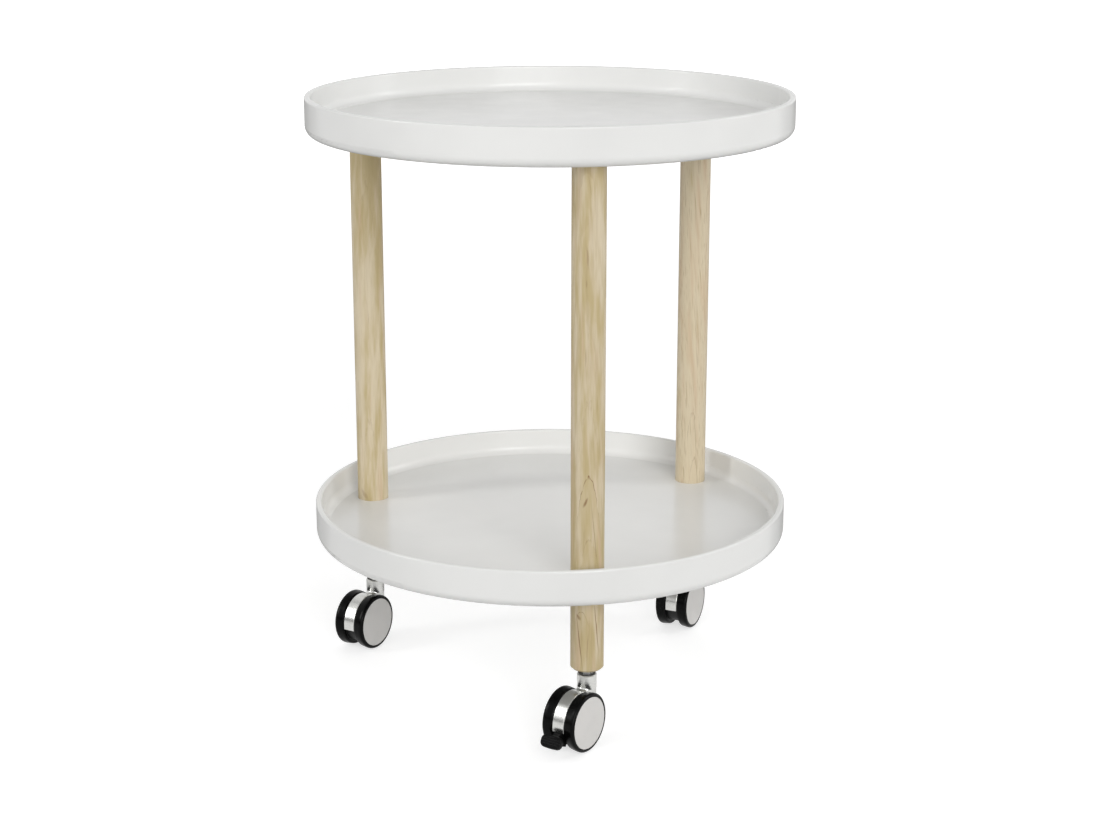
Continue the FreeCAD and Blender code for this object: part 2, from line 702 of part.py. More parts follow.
def make_pedal(leg):
    """Brake pedal: ribbed pad in front of the wheels on a lever that reaches between them."""
    body = new_body("brake_pedal")
    tilt = "0 - pedal_tilt"
    outline = new_sketch(body, "YZ_Plane", y="pad_z", z="pad_x", tilt=tilt)
    draw_bowed_box(outline, "pedal_width / 2", "pedal_height / 2", "pedal_bow")
    pad_block = pad(body, outline, "pedal_thickness")
    facing = outline.Placement.Rotation.multVec(Z_AXIS)
    pad_block = round_edges(body, pad_block, straight_edges(pad_block, facing), "pedal_corner")
    flat = [face for face in pad_block.Shape.Faces if isinstance(face.Surface, Part.Plane)]
    rims = [f"Edge{number}" for number, edge in enumerate(pad_block.Shape.Edges, start=1)
            if any(edge.isSame(other) for face in flat for other in face.Edges)]
    round_edges(body, pad_block, rims, "pedal_edge_round")
    grooves = new_sketch(body, "XZ_Plane")
    for i in range(GROOVE_COUNT):
        along = f"pedal_groove_pitch * ({i - (GROOVE_COUNT - 1) / 2})"
        draw_circle(grooves, f"face_x - {along} * sin(pedal_tilt)", f"face_z + {along} * cos(pedal_tilt)",
                    "pedal_groove / 2")
    pocket(body, grooves, "pedal_width * 2", both_ways=True)

    lever = new_sketch(body, "XZ_Plane")
    under_hood = "0 - hood_outer * sin(hood_front_drop) - pedal_arm_gap"
    sink, half = "pedal_thickness / 2", "pedal_height / 4"
    draw_polygon(lever, [
        ("pivot_x", "pivot_z + pivot_lobe"), ("hood_inner * cos(hood_front_drop) - pedal_arm_gap", under_hood),
        ("hood_outer * cos(hood_front_drop) + pedal_arm_gap", under_hood),
        (f"pad_x + {sink} * cos(pedal_tilt) - {half} * sin(pedal_tilt)",
         f"pad_z + {sink} * sin(pedal_tilt) + {half} * cos(pedal_tilt)"),
        (f"pad_x + {sink} * cos(pedal_tilt) + {half} * sin(pedal_tilt)",
         f"pad_z + {sink} * sin(pedal_tilt) - {half} * cos(pedal_tilt)"),
        ("pivot_x + pedal_heel_lead", "pivot_z - pedal_heel_drop"), ("pivot_x", "pivot_z - pivot_lobe")])
    pad(body, lever, "pedal_arm", both_ways=True)
    for x, z, lobe in (("pivot_x", "pivot_z", "pivot_lobe"), ("bar_x", "bar_z", "bar_lobe")):
        disc = new_sketch(body, "XZ_Plane")
        draw_circle(disc, x, z, lobe)
        pad(body, disc, "pedal_arm", both_ways=True)
    for x, z, radius in (("pivot_x", "pivot_z", "pivot_radius"), ("bar_x", "bar_z", "bar_radius")):
        hole = new_sketch(body, "XZ_Plane")
        draw_circle(hole, x, z, f"{radius} + running_gap")
        pocket(body, hole, "wheel_gap", both_ways=True)
    place_on_axle(keep(body), leg)


def make_cross_pin(name, leg, x, z, radius, length):
    """Plain pin that lies along the axle's direction."""
    body = new_body(name)
    sketch = new_sketch(body, "XZ_Plane")
    draw_circle(sketch, x, z, radius)
    pad(body, sketch, length, both_ways=True)
    place_on_axle(keep(body), leg)


def make_caster(leg):
    """One twin-wheel caster below its stem."""
    make_stem(leg)
    make_housing(leg)
    core = make_core(leg)
    make_axle(leg)
    for side in WHEEL_SIDES:
        make_wheel(leg, side)
    if leg == BRAKED_LEG:
        open_core_for_brake(core)
        make_pedal(leg)
        make_cross_pin("brake_pivot_pin", leg, "pivot_x", "pivot_z", "pivot_radius", "hood_half * 2")
        make_cross_pin("brake_bar", leg, "bar_x", "bar_z", "bar_radius", "bar_length")


def make_part():
    make_trays()
    make_legs()
    make_joinery()
    make_swivel_trim()
    for leg in LEGS:
        make_caster(leg)


def write_parts():
    """Check every object of the document, then write each sub-part to its own file."""
    doc.recompute()
    for item in doc.Objects:
        if "Invalid" in item.State or "Error" in item.State:
            raise RuntimeError(f"{item.Label} failed: {item.State}")
    for piece in sub_parts:
        if piece.Shape.isNull() or not piece.Shape.isValid():
            raise RuntimeError(f"{piece.Label} has no valid shape")
    os.makedirs("parts", exist_ok=True)
    for piece in sub_parts:
        piece.Shape.exportStep(f"parts/{piece.Label}.step")


make_part()
write_parts()
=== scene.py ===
import math
from typing import NamedTuple

import bpy
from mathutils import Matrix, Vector


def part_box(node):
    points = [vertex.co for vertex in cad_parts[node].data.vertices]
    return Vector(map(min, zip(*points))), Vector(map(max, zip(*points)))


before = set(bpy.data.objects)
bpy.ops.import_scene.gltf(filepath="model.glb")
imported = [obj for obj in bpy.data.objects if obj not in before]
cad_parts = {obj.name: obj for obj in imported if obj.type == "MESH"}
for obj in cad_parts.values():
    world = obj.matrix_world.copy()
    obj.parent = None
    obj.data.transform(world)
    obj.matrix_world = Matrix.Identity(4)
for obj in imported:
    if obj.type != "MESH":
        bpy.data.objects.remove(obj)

bl_info = {
    "name": "Serving Cart",
    "version": (1, 0, 0),
    "blender": (4, 5, 0),
    "location": "View3D > Sidebar > Cart",
    "description": "Finishes and studio for a round serving cart on twin-wheel casters",
    "category": "Object",
}

LEGS = ("front", "right", "left")
SIDES = ("left", "right")
# Step between the places in the noise that each tray and each leg takes its pattern from.
SEED_STEP = 7.3


def tone(red, green, blue):
    """Linear colour from the 0 to 255 numbers of a screen colour."""
    def linear(level):
        share = level / 255
        return share / 12.92 if share <= 0.04045 else ((share + 0.055) / 1.055) ** 2.4
    return linear(red), linear(green), linear(blue), 1.0


def colour_property(name, description, default):
    return bpy.props.FloatVectorProperty(
        name=name, description=description, subtype="COLOR", size=4, min=0, max=1, default=default)


class CartColours(bpy.types.PropertyGroup):
    """Colours of the cart's finishes."""

    lacquer: colour_property("Lacquer", "Satin white of both trays", tone(236, 236, 234))
    wood_pale: colour_property("Pale wood", "Lightest grain of the legs", tone(214, 200, 172))
    wood_olive: colour_property("Olive wood", "Yellow-green patches in the legs", tone(190, 172, 128))
    wood_pink: colour_property("Pink wood", "Rosy patches in the legs", tone(206, 183, 152))
    wood_fibre: colour_property("Wood fibre", "Dark fibres and growth lines", tone(160, 134, 92))
    wood_knot: colour_property("Knot", "Heart of a knot and brown streaks", tone(126, 88, 50))
    chrome: colour_property("Chrome", "Plated caster housings", (0.62, 0.62, 0.6, 1))
    steel: colour_property("Steel", "Stems, axles, pins and studs", (0.62, 0.62, 0.61, 1))
    zinc: colour_property("Zinc", "Threaded inserts", (0.52, 0.53, 0.55, 1))
    rubber: colour_property("Rubber", "Tyres", (0.0015, 0.0015, 0.0014, 1))
    black_plastic: colour_property("Black plastic", "Hubs, cores and pedal", (0.006, 0.006, 0.006, 1))
    cap_grey: colour_property("Cap grey", "Flat caps on the wheels", tone(223, 221, 218))


class CartSizes(bpy.types.PropertyGroup):
    """Sizes of the grain and of the studio."""

    growth_ring: bpy.props.FloatProperty(
        name="Growth ring", description="Distance between two growth lines of the wood",
        default=0.0034, min=0.0005, max=0.02, unit="LENGTH")
    fibre_width: bpy.props.FloatProperty(
        name="Fibre width", description="Width of the finest streaks of the wood",
        default=0.0007, min=0.0002, max=0.005, unit="LENGTH")
    pith_distance: bpy.props.FloatProperty(
        name="Pith distance", description="From a leg's middle to the heart of the tree that it was cut from",
        default=0.075, min=0.02, max=0.5, unit="LENGTH")
    pith_lean: bpy.props.FloatProperty(
        name="Pith lean", description="How far the grain leans, which draws growth lines out into arches",
        default=math.radians(2.4), min=0, max=math.radians(20), subtype="ANGLE", unit="ROTATION")
    floor_radius: bpy.props.FloatProperty(
        name="Floor radius", description="Radius of the studio floor",
        default=40, min=2, max=100, unit="LENGTH")
    lens: bpy.props.FloatProperty(
        name="Lens", description="Focal length of the camera in millimetres", default=69.9, min=10, max=300)
    camera_azimuth: bpy.props.FloatProperty(
        name="Camera azimuth", description="Way that the camera stands off, from the front towards the right",
        default=math.radians(-10.17), subtype="ANGLE", unit="ROTATION")
    camera_pitch: bpy.props.FloatProperty(
        name="Camera pitch", description="How far the camera looks down",
        default=math.radians(15.57), subtype="ANGLE", unit="ROTATION")
    camera_place: bpy.props.FloatVectorProperty(
        name="Camera place", description="Where the camera stands", subtype="TRANSLATION", unit="LENGTH",
        default=(-0.3707, -2.0666, 0.8583))


class Wire:
    """A value on its way through a node tree; arithmetic on it adds Math nodes."""

    def __init__(self, tree, socket):
        self.tree = tree
        self.socket = socket

    def math(self, operation, *values):
        return self.tree.node("ShaderNodeMath", {"operation": operation}, dict(enumerate(values)))

    def __add__(self, other):
        return self.math("ADD", self, other)

    def __radd__(self, other):
        return self.math("ADD", other, self)

    def __sub__(self, other):
        return self.math("SUBTRACT", self, other)

    def __rsub__(self, other):
        return self.math("SUBTRACT", other, self)

    def __mul__(self, other):
        return self.math("MULTIPLY", self, other)

    def __rmul__(self, other):
        return self.math("MULTIPLY", other, self)

    def __truediv__(self, other):
        return self.math("DIVIDE", self, other)

    def __pow__(self, other):
        return self.math("POWER", self, other)


class Tree:
    """A node tree with one way to add nodes."""

    def __init__(self, node_tree):
        self.nodes = node_tree.nodes
        self.links = node_tree.links

    def node(self, kind, settings=None, sockets=None, output=0):
        """Add a node, its settings first and then the values or links of its sockets, and give one output."""
        made = self.nodes.new(kind)
        for name, setting in (settings or {}).items():
            setattr(made, name, setting)
        for key, value in (sockets or {}).items():
            self.feed(made.inputs[key], value)
        return Wire(self, made.outputs[output])

    def feed(self, socket, value):
        if isinstance(value, Wire):
            self.links.new(value.socket, socket)
        else:
            socket.default_value = value

    def vector(self, operation, first, second):
        return self.node("ShaderNodeVectorMath", {"operation": operation}, {0: first, 1: second})

    def dot(self, first, second):
        return self.node("ShaderNodeVectorMath", {"operation": "DOT_PRODUCT"}, {0: first, 1: second}, "Value")

    def length(self, vector):
        return self.node("ShaderNodeVectorMath", {"operation": "LENGTH"}, {0: vector}, "Value")

    def height(self, place):
        return self.node("ShaderNodeSeparateXYZ", None, {0: place}, "Z")

    def blend(self, factor, first, second):
        """Mix of two colours; sockets 0, 6 and 7 of the node are its factor and its two colours."""
        return self.node("ShaderNodeMix", {"data_type": "RGBA"}, {0: factor, 6: first, 7: second}, 2)

    def smooth(self, value, low, high):
        """0 below low, 1 above high and a smooth step between."""
        return self.node("ShaderNodeMapRange", {"interpolation_type": "SMOOTHSTEP"},
                         {"Value": value, "From Min": low, "From Max": high})

    def noise(self, place, scale, detail):
        """Noise from 0 to 1 at a place stretched by a scale along each axis."""
        stretched = self.vector("MULTIPLY", place, scale)
        return self.node("ShaderNodeTexNoise", None,
                         {"Vector": stretched, "Scale": 1.0, "Detail": detail, "Roughness": 0.5}, "Fac")


class Finish(Tree):
    """A material with a Principled shader to feed."""

    def __init__(self, name):
        self.material = bpy.data.materials.new(name)
        self.material.use_nodes = True
        super().__init__(self.material.node_tree)
        self.shader = self.nodes["Principled BSDF"]
        self.place = self.node("ShaderNodeTexCoord", output="Object")

    def set(self, **values):
        """Feed the shader's sockets, named in lower case with underscores."""
        for key, value in values.items():
            self.feed(self.shader.inputs[key.replace("_", " ").title().replace("Ior", "IOR")], value)

    def bump(self, height, distance, strength):
        self.set(normal=self.node("ShaderNodeBump", None, {
            "Strength": strength, "Distance": distance, "Height": height}))


def same(number):
    """One number for all three axes."""
    return number, number, number


def upright_scale(across, along):
    """Repeats of a pattern in a metre, across an upright piece and along it."""
    return across, across, along


def shaded(colour, share, lift=0.0):
    """A colour made darker or paler by a share of it, and then lifted."""
    return [min(1, level * share + lift) for level in colour[:3]] + [1]


def lacquer_finish(name, seed):
    """Satin white lacquer: faint cloudiness, soft orange peel and a slightly uneven sheen."""
    finish = Finish(name)
    lacquer = bpy.context.scene.cart_colours.lacquer
    place = finish.vector("ADD", finish.place, same(seed))
    cloud = finish.noise(place, same(7), detail=3)
    sheen = finish.noise(place, same(38), detail=3)
    peel = finish.noise(place, same(420), detail=1)
    finish.set(base_color=finish.blend(finish.smooth(cloud, 0.35, 0.7), lacquer, shaded(lacquer, 0.955)))
    finish.set(roughness=0.17 + 0.08 * sheen, specular_ior_level=0.4)
    finish.bump(peel, distance=0.00012, strength=0.35)
    return finish.material


class Grain(NamedTuple):
    """How one leg's wood differs from the others': shares of its colours and lines, of the painted shade at
    its top and of the olive at its foot, and turns in degrees.
    """

    olive: float
    rose: float
    growth: float
    streaks: float
    dashes: float
    slant: float
    pith_turn: float
    # Share of painted shade at the top of the leg, under the top tray, and of olive at its foot.
    painted_shade_top: float
    olive_foot: float


class Mark(NamedTuple):
    """A knot or streak: turn about the leg in degrees, height, half width, half height, lean and depth."""

    turn: float
    height: float
    width: float
    tall: float
    lean: float
    depth: float


class Arch(NamedTuple):
    """A growth line that closes in an arch: turn, top, half width at the drop, shares of line and fill."""

    turn: float
    top: float
    width: float
    drop: float
    line: float
    fill: float


# Each leg's top share is painted shade that darkens the top of the leg towards olive under the top tray.
GRAINS = {
    "front": Grain(olive=-0.01, rose=-0.02, growth=0.24, streaks=0.2, dashes=0.18, slant=1.0, pith_turn=72,
                   painted_shade_top=0.1, olive_foot=0.26),
    "right": Grain(olive=-0.24, rose=0.0, growth=0.12, streaks=0.12, dashes=0.5, slant=4.0, pith_turn=20,
                   painted_shade_top=0.3, olive_foot=0.0),
    "left": Grain(olive=-0.04, rose=-0.08, growth=0.1, streaks=0.06, dashes=0.1, slant=-1.0, pith_turn=215,
                  painted_shade_top=0.85, olive_foot=0.0),
}
MARKS = {
    "front": [
        Mark(turn=-109, height=0.245, width=0.0014, tall=0.0048, lean=0.4, depth=0.75),
        Mark(turn=-105, height=0.476, width=0.0011, tall=0.011, lean=-0.08, depth=0.42),
        Mark(turn=-108, height=0.452, width=0.0006, tall=0.004, lean=0.0, depth=0.3),
        Mark(turn=-98, height=0.541, width=0.0004, tall=0.011, lean=-0.14, depth=0.3),
        Mark(turn=-110, height=0.383, width=0.0007, tall=0.009, lean=0.0, depth=0.3),
        Mark(turn=-106, height=0.43, width=0.0012, tall=0.06, lean=-0.02, depth=0.1),
        Mark(turn=-132, height=0.131, width=0.0018, tall=0.003, lean=-0.5, depth=0.6),
        Mark(turn=-128, height=0.106, width=0.0006, tall=0.026, lean=-0.12, depth=0.75),
        Mark(turn=-68, height=0.12, width=0.0006, tall=0.028, lean=-0.1, depth=0.75),
        Mark(turn=-100, height=0.1, width=0.0005, tall=0.018, lean=0.04, depth=0.4),
        Mark(turn=-78, height=0.213, width=0.0006, tall=0.03, lean=-0.1, depth=0.4),
    ],
    "right": [
        Mark(turn=-84, height=0.3, width=0.0004, tall=0.012, lean=-0.06, depth=0.4),
        Mark(turn=-112, height=0.54, width=0.0012, tall=0.012, lean=-0.2, depth=0.25),
        Mark(turn=-96, height=0.52, width=0.0007, tall=0.014, lean=-0.16, depth=0.25),
    ],
    "left": [
        Mark(turn=-132, height=0.168, width=0.003, tall=0.006, lean=-0.6, depth=0.3),
        Mark(turn=-98, height=0.36, width=0.0004, tall=0.008, lean=0.0, depth=0.25),
        Mark(turn=-60, height=0.556, width=0.0012, tall=0.02, lean=-0.1, depth=0.25),
    ],
}
ARCHES = {
    "front": [
        Arch(turn=-99, top=0.34, width=0.009, drop=0.05, line=0.12, fill=0.0),
        Arch(turn=-99, top=0.271, width=0.0066, drop=0.018, line=0.9, fill=0.5),
        Arch(turn=-94, top=0.21, width=0.007, drop=0.02, line=0.3, fill=0.3),
        Arch(turn=-122, top=0.137, width=0.0045, drop=0.006, line=0.7, fill=0.2),
    ],
    "right": [
        Arch(turn=-100, top=0.245, width=0.006, drop=0.05, line=0.3, fill=0.0),
        Arch(turn=-90, top=0.19, width=0.005, drop=0.03, line=0.3, fill=0.0),
    ],
    "left": [
        Arch(turn=-96, top=0.5, width=0.008, drop=0.06, line=0.15, fill=0.0),
        Arch(turn=-104, top=0.25, width=0.008, drop=0.06, line=0.15, fill=0.0),
    ],
}
# Way across the side of the legs that shows most, along which slanting grain leans.
ACROSS = Vector((0.98, -0.18, 0))
# Stretches of a leg that turn more olive: down from its top, where this is painted shade under the top tray,
# and towards its foot, fading out between two heights.
PAINTED_SHADE_TOP_LENGTH = 0.13
OLIVE_FOOT_LOW = 0.22
OLIVE_FOOT_HIGH = 0.38
# Shares that are the same on every leg; the first is how far the painted shade at the top and the olive at
# the foot push the wood towards olive.
SHADE_AND_FOOT_OLIVE_SHARE = 0.35
PINK_SHARE = 0.8
FIBRE_SHARE = 0.16
PORE_SHARE = 0.28
# How many rings the growth lines sway by, and how unevenly arches and marks are drawn.
RING_SWAY = 3.2
ARCH_WANDER = 0.8
MARK_WANDER = 1.4
# Depth over which an arch or a mark fades in from the edge of the leg's side.
SIDE_FADE = 0.006


def wood_finish(leg):
    """Pale varnished wood: patches, growth lines, fibres and pores, and the leg's own arches and marks."""
    finish = Finish(f"{leg}_leg_wood")
    fibre_colour = bpy.context.scene.cart_colours.wood_fibre
    fineness = 1 / bpy.context.scene.cart_sizes.fibre_width
    grain = GRAINS[leg]
    low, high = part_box(f"post_{leg}")
    middle = (low + high) / 2
    place = finish.vector("SUBTRACT", finish.place, (middle.x, middle.y, 0))
    upright = finish.height(place)
    leaned = finish.vector("MULTIPLY", upright, ACROSS * math.tan(math.radians(grain.slant)))
    seed = same(SEED_STEP * LEGS.index(leg))
    grown = finish.vector("ADD", finish.vector("ADD", place, leaned), seed)

    fibres = finish.noise(grown, upright_scale(fineness, 40), detail=3)
    streaks = finish.noise(grown, upright_scale(0.35 * fineness, 14), detail=4)
    dashes = finish.noise(grown, upright_scale(0.7 * fineness, 26), detail=2)
    dark = (growth_lines(finish, grain, place, grown, middle.z) * grain.growth
            + finish.smooth(streaks, 0.5, 0.82) * grain.streaks
            + finish.smooth(fibres, 0.5, 0.85) * FIBRE_SHARE
            + finish.smooth(dashes, 0.57, 0.7) * grain.dashes)
    body = finish.blend(dark, wood_ground(finish, grain, grown, upright, high.z), fibre_colour)
    pores = finish.smooth(finish.noise(grown, upright_scale(1.6 * fineness, 70), detail=1), 0.66, 0.76)
    body = finish.blend(pores * PORE_SHARE, body, fibre_colour)

    wander = finish.noise(place, upright_scale(280, 90), detail=2) - 0.5
    for arch in ARCHES[leg]:
        body = add_arch(finish, place, upright, wander, body, arch)
    for mark in MARKS[leg]:
        body = add_mark(finish, place, upright, wander, body, mark)
    finish.set(base_color=body, roughness=0.36 + 0.14 * fibres, specular_ior_level=0.42)
    finish.bump(fibres - pores * 0.8, distance=0.00012, strength=0.3)
    return finish.material


def wood_ground(finish, grain, grown, upright, top):
    """Patches of pale, olive and pink wood, with painted shade as darker olive under the top tray and more
    olive towards the foot of a leg.
    """
    colours = bpy.context.scene.cart_colours
    # Painted shade: the top of the leg under the top tray turns darker olive. The foot turns olive as well.
    top_shade_and_olive_foot = (finish.smooth(upright, top - PAINTED_SHADE_TOP_LENGTH, top) * grain.painted_shade_top
            + (1 - finish.smooth(upright, OLIVE_FOOT_LOW, OLIVE_FOOT_HIGH)) * grain.olive_foot)
    patch = finish.noise(grown, upright_scale(115, 15), detail=3)
    olive = finish.smooth(patch + (grain.olive + SHADE_AND_FOOT_OLIVE_SHARE * top_shade_and_olive_foot), 0.36, 0.68)
    ground = finish.blend(olive, colours.wood_pale, colours.wood_olive)
    rosy = finish.noise(grown, upright_scale(130, 11), detail=3)
    pink = finish.smooth(rosy + grain.rose, 0.5, 0.72)
    return finish.blend(pink * PINK_SHARE, ground, colours.wood_pink)


def growth_lines(finish, grain, place, grown, height):
    """Dark edges of the growth rings about a leaning pith beside the leg, stronger in some places."""
    sizes = bpy.context.scene.cart_sizes
    pith_turn = math.radians(grain.pith_turn)
    toward = Vector((math.cos(pith_turn), math.sin(pith_turn), 0))
    pith = toward * sizes.pith_distance + Vector((0, 0, height))
    trunk = (Vector((0, 0, 1)) - toward * math.tan(sizes.pith_lean)).normalized()
    from_pith = finish.vector("CROSS_PRODUCT", finish.vector("SUBTRACT", place, pith), trunk)
    sway = finish.noise(grown, upright_scale(40, 13), detail=3)
    rings = finish.length(from_pith) / sizes.growth_ring + sway * RING_SWAY
    line = rings.math("FRACT", rings)
    late = finish.smooth(line, 0.3, 0.92) * finish.smooth(1 - line, 0, 0.07)
    return late * finish.smooth(finish.noise(grown, upright_scale(45, 9), detail=2), 0.35, 0.75)


def leg_side(finish, place, turn):
    """How far a point lies aside of a turn about the leg, and 1 where the leg's side faces that way."""
    way = math.radians(turn)
    aside = finish.dot(place, (-math.sin(way), math.cos(way), 0))
    facing = finish.smooth(finish.dot(place, (math.cos(way), math.sin(way), 0)), 0.0, SIDE_FADE)
    return aside, facing


def add_arch(finish, place, upright, wander, body, arch):
    """Draw one growth line that closes in an arch, with an olive fill below it."""
    colours = bpy.context.scene.cart_colours
    aside, facing = leg_side(finish, place, arch.turn)
    drop = (arch.top - upright) / arch.drop
    share = aside / arch.width
    level = drop - share * share + wander * ARCH_WANDER
    inside = finish.smooth(level, 0, 0.2) * (1 - finish.smooth(drop, 1.5, 3.5))
    body = finish.blend(inside * facing * arch.fill, body, colours.wood_olive)
    line = finish.smooth(level, -0.06, 0.02) * (1 - finish.smooth(level, 0.02, 0.16))
    fading = (1 - finish.smooth(drop, 0.4, 4)) * finish.smooth(wander, -0.2, 0.05)
    return finish.blend(line * fading * facing * arch.line, body, colours.wood_knot)


def add_mark(finish, place, upright, wander, body, mark):
    """Lay a knot or a brown streak over the grain."""
    aside, facing = leg_side(finish, place, mark.turn)
    rise = upright - mark.height
    across = (aside - rise * mark.lean) / mark.width + wander * MARK_WANDER
    along = rise / mark.tall
    reach = (across * across + along * along) ** 0.5
    core = 1 - finish.smooth(reach, 0.3, 1.3)
    return finish.blend(core * facing * mark.depth, body, bpy.context.scene.cart_colours.wood_knot)


# Height where a caster's barrel rises from its hood, and the stretch over which its plating turns duller.
BARREL_FOOT = 0.06
BARREL_FADE = 0.004


def chrome_finish(name):
    """Satin bright plating, duller up the barrel: faint smudges, a fine grain and a casting's slow waves."""
    finish = Finish(name)
    chrome = bpy.context.scene.cart_colours.chrome
    smudge = finish.noise(finish.place, same(90), detail=3)
    barrel = finish.smooth(finish.height(finish.place), BARREL_FOOT, BARREL_FOOT + BARREL_FADE)
    finish.set(base_color=finish.blend(finish.smooth(smudge, 0.45, 0.75), chrome, shaded(chrome, 0.93)))
    finish.set(metallic=1.0, roughness=0.2 + 0.1 * smudge + 0.2 * barrel)
    waves = finish.noise(finish.place, same(140), detail=1)
    grain = finish.noise(finish.place, same(1800), detail=2)
    finish.bump(waves + grain * 0.12, distance=0.0003, strength=0.12)
    return finish.material


def metal_finish(name, colour, roughness, turning):
    """Machined metal with fine marks, as close along each axis as turning says."""
    finish = Finish(name)
    marks = finish.noise(finish.place, turning, detail=2)
    finish.set(base_color=finish.blend(finish.smooth(marks, 0.4, 0.75), colour, shaded(colour, 0.8)))
    finish.set(metallic=1.0, roughness=roughness + 0.14 * marks)
    finish.bump(marks, distance=0.00005, strength=0.3)
    return finish.material


def rubber_finish(name):
    """Satin black rubber with a fine grain and a breath of dust."""
    finish = Finish(name)
    rubber = bpy.context.scene.cart_colours.rubber
    grain = finish.noise(finish.place, same(1500), detail=2)
    dust = finish.noise(finish.place, same(55), detail=4)
    finish.set(base_color=finish.blend(finish.smooth(dust, 0.42, 0.8), rubber, shaded(rubber, 1.8)))
    finish.set(roughness=0.17 + 0.1 * dust, specular_ior_level=0.08)
    finish.bump(grain, distance=0.00006, strength=0.1)
    return finish.material


def plastic_finish(name, roughness, gloss=0.25):
    """Black moulded plastic with a fine grain, paler where it is handled."""
    finish = Finish(name)
    black = bpy.context.scene.cart_colours.black_plastic
    grain = finish.noise(finish.place, same(1100), detail=2)
    handled = finish.noise(finish.place, same(45), detail=3)
    paler = shaded(black, 1.5, lift=0.003)
    finish.set(base_color=finish.blend(finish.smooth(handled, 0.4, 0.8) * 0.6, black, paler))
    finish.set(roughness=roughness + 0.12 * handled, specular_ior_level=gloss)
    finish.bump(grain, distance=0.00008, strength=0.25)
    return finish.material


def cap_finish(name):
    """Pale grey caps with a faint fleck and slow clouds in the paint."""
    finish = Finish(name)
    cap_grey = bpy.context.scene.cart_colours.cap_grey
    fleck = finish.noise(finish.place, same(2600), detail=1)
    cloud = finish.noise(finish.place, same(60), detail=3)
    mixed = finish.smooth(fleck, 0.4, 0.75) * 0.5 + finish.smooth(cloud, 0.4, 0.8) * 0.3
    finish.set(base_color=finish.blend(mixed, cap_grey, shaded(cap_grey, 0.9)))
    finish.set(roughness=0.42 + 0.08 * cloud, specular_ior_level=0.25)
    finish.bump(fleck, distance=0.00003, strength=0.2)
    return finish.material


def per_leg(*pieces):
    """Names of the nodes that come once for each leg."""
    return [f"{piece}_{leg}" for piece in pieces for leg in LEGS]


def per_wheel(piece):
    """Names of the nodes that come once for each wheel."""
    return [f"{piece}_{leg}_{side}" for leg in LEGS for side in SIDES]


def dress(material, slot, *names):
    """Give CAD nodes a finish; the slot argument is not used."""
    for name in names:
        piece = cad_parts[name]
        if not piece.material_slots:
            piece.data.materials.append(material)
        for place in piece.material_slots:
            place.material = material


class CartOperator:
    """What all the cart's operators share."""

    bl_options = {"REGISTER", "UNDO"}


class CART_OT_trays(CartOperator, bpy.types.Operator):
    """Lacquer both trays"""

    bl_idname = "cart.trays"
    bl_label = "Trays"

    def execute(self, context):
        for seed, name in enumerate(("top_tray", "lower_tray")):
            dress(lacquer_finish(f"{name}_lacquer", seed * SEED_STEP), "tray_lacquer", name)
        return {"FINISHED"}


class CART_OT_legs(CartOperator, bpy.types.Operator):
    """Grain the posts and feet, each leg as one length of wood"""

    bl_idname = "cart.legs"
    bl_label = "Legs"

    def execute(self, context):
        for leg in LEGS:
            dress(wood_finish(leg), "leg_wood", f"post_{leg}", f"foot_{leg}")
        return {"FINISHED"}


class CART_OT_joinery(CartOperator, bpy.types.Operator):
    """Finish the inserts and studs inside the legs"""

    bl_idname = "cart.joinery"
    bl_label = "Joinery"

    def execute(self, context):
        colours = context.scene.cart_colours
        zinc = metal_finish("insert_zinc", colours.zinc, roughness=0.35, turning=upright_scale(60, 900))
        dress(zinc, "insert_zinc", "leg_inserts", "tray_inserts")
        studs = metal_finish("stud_steel", colours.steel, roughness=0.3, turning=upright_scale(60, 1200))
        dress(studs, "stud_steel", "upper_studs", "lower_studs")
        return {"FINISHED"}


class CART_OT_casters(CartOperator, bpy.types.Operator):
    """Plate the caster housings and finish their stems, rings, axles, cores and washers"""

    bl_idname = "cart.casters"
    bl_label = "Casters"

    def execute(self, context):
        steel = context.scene.cart_colours.steel
        dress(chrome_finish("housing_chrome"), "housing_chrome", *per_leg("caster_housing"))
        stems = metal_finish("stem_steel", steel, roughness=0.22, turning=upright_scale(50, 1500))
        dress(stems, "stem_steel", *per_leg("caster_stem"))
        rings = metal_finish("ring_steel", steel, roughness=0.3, turning=upright_scale(60, 1200))
        dress(rings, "stud_steel", "swivel_rings")
        axles = metal_finish("axle_steel", steel, roughness=0.28, turning=same(300))
        dress(axles, "axle_steel", *per_leg("caster_axle", "axle_clips"))
        dress(plastic_finish("core_plastic", roughness=0.45), "core_plastic", *per_leg("caster_core"))
        washers = plastic_finish("washer_plastic", roughness=0.14, gloss=0.6)
        dress(washers, "core_plastic", "swivel_washers")
        return {"FINISHED"}


class CART_OT_wheels(CartOperator, bpy.types.Operator):
    """Finish the tyres, hubs and caps"""

    bl_idname = "cart.wheels"
    bl_label = "Wheels"

    def execute(self, context):
        dress(rubber_finish("tyre_rubber"), "tyre_rubber", *per_wheel("tyre"))
        dress(plastic_finish("hub_plastic", roughness=0.4), "hub_plastic", *per_wheel("wheel_hub"))
        dress(cap_finish("cap_plastic"), "cap_plastic", *per_wheel("wheel_cap"))
        return {"FINISHED"}


class CART_OT_brake(CartOperator, bpy.types.Operator):
    """Finish the brake pedal with its pin and bar"""

    bl_idname = "cart.brake"
    bl_label = "Brake"

    def execute(self, context):
        pedal = plastic_finish("pedal_plastic", roughness=0.3, gloss=0.08)
        dress(pedal, "pedal_plastic", "brake_pedal")
        pins = metal_finish("pin_steel", context.scene.cart_colours.steel, roughness=0.28, turning=same(300))
        dress(pins, "axle_steel", "brake_pivot_pin", "brake_bar")
        return {"FINISHED"}


